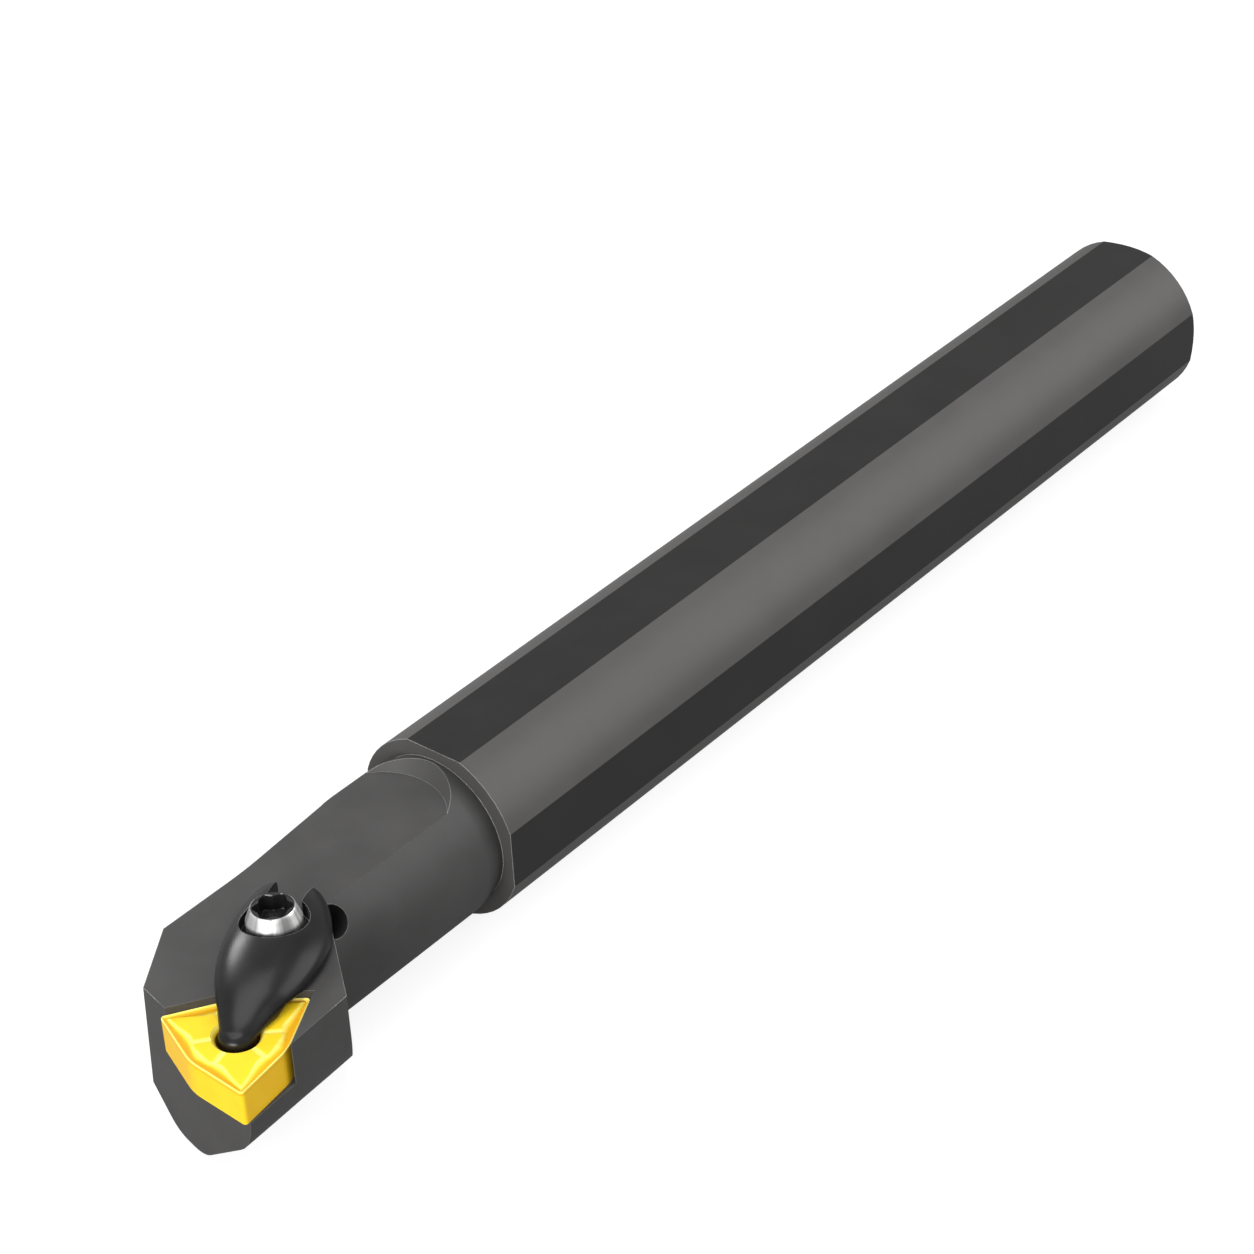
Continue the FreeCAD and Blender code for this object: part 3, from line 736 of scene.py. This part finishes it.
def screw_piece():
    """The screw's skin, with the second material on the socket, its floor and the crown."""
    rings, dark = screw_rings()
    piece = skin_of_rings("clamp_screw_turned", placed(rings, SCREW_CENTRE, SCREW_REST_TURN))
    steps = len(rings[0])
    socket_floor = len(rings) - 1
    for number, face in enumerate(piece.data.polygons):
        band = number // steps
        face.material_index = 1 if band < dark - 1 or band == socket_floor else 0
    smooth_by_angle(piece, 28)
    return piece


# %% [markdown]
# ## Finish of the screw
# The bevel was turned bright after blueing. Its colour carries a painted reflection: upright streaks of
# the room, which a noise along the bearing round the screw gives. Its tool marks run round it, and its rim
# carries a thin painted highlight. The top ring and the socket stay black, with a thin painted highlight
# on their rims.

# %% Screw finish
# Colours of the painted reflection: upright streaks of the room on the bevel.
REFLECTION_BRIGHT = (0.85, 0.845, 0.84)
REFLECTION_GREY = (0.45, 0.445, 0.440)
# Painted highlight along the bevel's rims.
RIM_HIGHLIGHT = (0.9, 0.9, 0.9)
SOCKET_BLACK = (0.012, 0.012, 0.012)
# Painted highlight along the rims of the socket and the top ring.
SOCKET_RIM_HIGHLIGHT = (0.30, 0.30, 0.30)


def bright_finish():
    finish = Finish("screw_bright")
    rearward = finish.along("X") - SCREW_CENTRE.x
    sideways = finish.along("Y") - SCREW_CENTRE.y
    bearing = sideways.maths("ARCTAN2", sideways, rearward)
    # The upright streaks are a painted reflection of the room, laid into the base colour.
    reflection_streaks = finish.node("ShaderNodeTexNoise", {"noise_dimensions": "1D"},
                          {"W": bearing, "Scale": 1.9, "Detail": 2.0})
    marks = finish.noise(900.0, 3.0, stretch=(0.3, 0.3, 5.0))
    colour = finish.blend(finish.limits(reflection_streaks, 0.46, 0.58), REFLECTION_BRIGHT, REFLECTION_GREY)
    # A thin painted highlight along the rims.
    colour = finish.blend(finish.edge(0.06, 0.02, 0.10), colour, RIM_HIGHLIGHT)
    shader = finish.node("ShaderNodeBsdfPrincipled", inputs={
        "Base Color": colour, "Roughness": finish.limits(marks, 0.3, 0.7, 0.42, 0.50),
        "Metallic": 1.0, "Normal": finish.grain(marks, 0.08, 0.02)})
    return finish.surface(shader)


def black_finish():
    finish = Finish("screw_black")
    specks = finish.noise(4200.0, 2.0)
    shader = finish.node("ShaderNodeBsdfPrincipled", inputs={
        # A thin painted highlight along the socket's and the ring's rims.
        "Base Color": finish.blend(finish.edge(0.08, 0.05, 0.35), SOCKET_BLACK, SOCKET_RIM_HIGHLIGHT),
        "Roughness": finish.limits(specks, 0.3, 0.7, 0.26, 0.34),
        "Normal": finish.grain(specks, 0.10, 0.03)})
    return finish.surface(shader)


screw = screw_piece()
screw.data.materials.append(bright_finish())
screw.data.materials.append(black_finish())
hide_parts("clamp_screw")
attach(screw, "screw")


# %% [markdown]
# ## Coils by Geometry Nodes
# The spring under the clamp and the thread in the rear inlet both follow a spiral. A small node tree
# draws a spiral, sweeps a round or three-sided profile along it and sets its material. Its sizes are
# named inputs, so the same tree makes both. It ends in Realize Instances and Set Material, because an
# exported model keeps neither instances nor modifiers.

# %% Coil tree
COIL_SIZES = ("Turns", "Radius", "Height", "Profile Radius", "Profile Sides", "Steps")


def coil_tree():
    tree = bpy.data.node_groups.new("coil", "GeometryNodeTree")
    tree.interface.new_socket("Geometry", in_out="OUTPUT", socket_type="NodeSocketGeometry")
    for label in COIL_SIZES:
        whole = label in ("Profile Sides", "Steps")
        tree.interface.new_socket(label, in_out="INPUT",
                                  socket_type="NodeSocketInt" if whole else "NodeSocketFloat")
    tree.interface.new_socket("Material", in_out="INPUT", socket_type="NodeSocketMaterial")
    into = tree.nodes.new("NodeGroupInput")
    out = tree.nodes.new("NodeGroupOutput")
    spiral = tree.nodes.new("GeometryNodeCurveSpiral")
    profile = tree.nodes.new("GeometryNodeCurvePrimitiveCircle")
    sweep = tree.nodes.new("GeometryNodeCurveToMesh")
    sweep.inputs["Fill Caps"].default_value = True
    real = tree.nodes.new("GeometryNodeRealizeInstances")
    paint = tree.nodes.new("GeometryNodeSetMaterial")
    join = tree.links.new
    join(into.outputs["Steps"], spiral.inputs["Resolution"])
    join(into.outputs["Turns"], spiral.inputs["Rotations"])
    join(into.outputs["Radius"], spiral.inputs["Start Radius"])
    join(into.outputs["Radius"], spiral.inputs["End Radius"])
    join(into.outputs["Height"], spiral.inputs["Height"])
    join(into.outputs["Profile Sides"], profile.inputs["Resolution"])
    join(into.outputs["Profile Radius"], profile.inputs["Radius"])
    join(spiral.outputs["Curve"], sweep.inputs["Curve"])
    join(profile.outputs["Curve"], sweep.inputs["Profile Curve"])
    join(sweep.outputs["Mesh"], real.inputs["Geometry"])
    join(real.outputs["Geometry"], paint.inputs["Geometry"])
    join(into.outputs["Material"], paint.inputs["Material"])
    join(paint.outputs["Geometry"], out.inputs["Geometry"])
    return tree


def coil(name, tree, material, place, turn, sizes):
    """Run the tree on an empty mesh and keep the result as a plain mesh at its place."""
    carrier = bpy.data.objects.new(name + "_tree", bpy.data.meshes.new(name + "_tree"))
    bpy.context.scene.collection.objects.link(carrier)
    modifier = carrier.modifiers.new("coil", "NODES")
    modifier.node_group = tree
    for item in tree.interface.items_tree:
        if item.in_out == "INPUT" and item.name in sizes:
            modifier[item.identifier] = sizes[item.name]
        elif item.in_out == "INPUT" and item.name == "Material":
            modifier[item.identifier] = material
    bpy.context.view_layer.update()
    graph = bpy.context.evaluated_depsgraph_get()
    mesh = bpy.data.meshes.new_from_object(carrier.evaluated_get(graph))
    bpy.data.objects.remove(carrier)
    mesh.transform(Matrix.Translation(place * MM) @ turn.to_4x4())
    mesh.shade_smooth()
    made = bpy.data.objects.new(name, mesh)
    bpy.context.scene.collection.objects.link(made)
    return made


# %% [markdown]
# ## The spring and the inlet's thread
# The spring stands in its pocket under the clamp and pushes it up when the screw is loosened. The thread's
# ridge lies in the wall of the rear inlet, turned along the shank.

# %% Spring and thread
WIRE_DARK = (0.30, 0.29, 0.28)
WIRE_LIGHT = (0.42, 0.41, 0.40)


def spring_finish():
    finish = Finish("spring_wire")
    drawn = finish.noise(2600.0, 3.0)
    shader = finish.node("ShaderNodeBsdfPrincipled", inputs={
        "Base Color": finish.blend(finish.limits(drawn, 0.3, 0.7), WIRE_DARK, WIRE_LIGHT),
        "Roughness": finish.limits(drawn, 0.3, 0.7, 0.25, 0.38), "Metallic": 1.0})
    return finish.surface(shader)


SPRING_WIRE = 0.35
SPRING_RADIUS = 2.85
SPRING_TURNS = 5.0
SPRING_POCKET = 5.9
SPRING_LOW = DECK_Z - SPRING_POCKET + SPRING_WIRE + 0.05
SPRING_HIGH = DECK_Z + CLAMP_LOW - SPRING_WIRE - 0.05
tree = coil_tree()
spring_place = Vector((SCREW_CENTRE.x, SCREW_CENTRE.y, SPRING_LOW))
spring = coil("clamp_spring_coil", tree, spring_finish(), spring_place, Matrix.Identity(3), {
    "Turns": SPRING_TURNS, "Radius": SPRING_RADIUS * MM, "Height": (SPRING_HIGH - SPRING_LOW) * MM,
    "Profile Radius": SPRING_WIRE * MM, "Profile Sides": 16, "Steps": 48})
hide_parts("clamp_spring")
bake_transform(spring)

INLET_RADIUS = 4.3
INLET_PITCH = 1.25
INLET_TURNS = 8.0
INLET_RIDGE = 0.42
INLET_START = Vector((-10.6, 0.0, 0.0))
along_x = Matrix(((0, 0, 1), (0, 1, 0), (-1, 0, 0)))
thread = coil("inlet_thread", tree, spring_finish(), INLET_START, along_x, {
    "Turns": INLET_TURNS, "Radius": INLET_RADIUS * MM, "Height": INLET_TURNS * INLET_PITCH * MM,
    "Profile Radius": INLET_RIDGE * MM, "Profile Sides": 3, "Steps": 48})
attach(thread, "bar")
print("coils:", len(spring.data.polygons), len(thread.data.polygons))


# %% [markdown]
# ## Floor
# The bar lies on a plain white floor, so large that its edge is far outside the picture. Its own colour is
# a mid grey that takes the soft shadow. White is added to what the camera sees, and a small share of it to
# what glossy or clear faces mirror, so the floor's glow throws no soft light on the bar.

# %% Floor
FLOOR_GREY = (0.22, 0.22, 0.22, 1.0)
FLOOR_WHITE = (1.0, 1.0, 1.0, 1.0)
FLOOR_GLOW = 0.86
MIRRORED_SHARE = 0.15
FLOOR_HALF = 4.0


def floor_finish():
    finish = Finish("floor_white")
    path = finish.tree.nodes.new("ShaderNodeLightPath")
    seen = Signal(finish, path.outputs["Is Camera Ray"])
    glossy = Signal(finish, path.outputs["Is Glossy Ray"])
    through = Signal(finish, path.outputs["Is Transmission Ray"])
    strength = finish.limits(seen + (glossy + through) * MIRRORED_SHARE, 0.0, 1.0, 0.0, FLOOR_GLOW)
    diffuse = finish.node("ShaderNodeBsdfDiffuse", inputs={"Color": FLOOR_GREY})
    glow = finish.node("ShaderNodeEmission", inputs={"Color": FLOOR_WHITE, "Strength": strength})
    return finish.surface(finish.node("ShaderNodeAddShader", inputs={0: diffuse, 1: glow}))


def make_floor():
    size, height = FLOOR_HALF, FLOOR_Z * MM
    corners = [(-size, -size, height), (size, -size, height), (size, size, height), (-size, size, height)]
    mesh = bpy.data.meshes.new("floor")
    mesh.from_pydata(corners, [], [(0, 1, 2, 3)])
    floor = bpy.data.objects.new("floor", mesh)
    bpy.context.scene.collection.objects.link(floor)
    mesh.materials.append(floor_finish())


make_floor()


# %% [markdown]
# ## Lamps
# Four soft lamps and a pale sky light the bar. A large one over the rear end lies where the round strip
# between two flats mirrors it, so that strip reads bright along its whole length while both flats stay
# dark. One in front lights the insert's flanks and the head's front face, one overhead lifts the faces
# that look up, and a small one behind the head draws the bright line down the clamp.

# %% Lamps
def lamp(name, place, aim, size, watts):
    """A soft rectangular lamp at a place, turned to its aim, in metres."""
    data = bpy.data.lights.new(name, "AREA")
    data.shape = "RECTANGLE"
    data.size, data.size_y = size
    data.energy = watts
    made = bpy.data.objects.new(name, data)
    made.location = place
    made.rotation_euler = (aim - place).to_track_quat("-Z", "Y").to_euler()
    bpy.context.scene.collection.objects.link(made)


MIDDLE = Vector((-0.15, -0.005, 0.0))
HEAD = Vector((-0.20, -0.01, 0.01))
lamp("lamp_tail", MIDDLE + 1.3 * Vector((0.63, -0.545, 0.529)), MIDDLE, (1.1, 1.1), 8.0)
lamp("lamp_front", MIDDLE + 1.2 * Vector((-0.92, -0.25, 0.30)), MIDDLE, (0.7, 0.7), 15.0)
lamp("lamp_over", MIDDLE + Vector((-0.15, 0.1, 1.2)), MIDDLE, (0.9, 0.9), 6.5)
lamp("lamp_back", HEAD + 0.5 * Vector((0.25, 0.84, 0.48)), HEAD, (0.13, 0.13), 0.60)

SKY_STRENGTH = 0.45
world = bpy.data.worlds.new("sky")
world.use_nodes = True
sky = world.node_tree.nodes["Background"].inputs
sky["Color"].default_value = (1.0, 1.0, 1.0, 1.0)
sky["Strength"].default_value = SKY_STRENGTH
bpy.context.scene.world = world
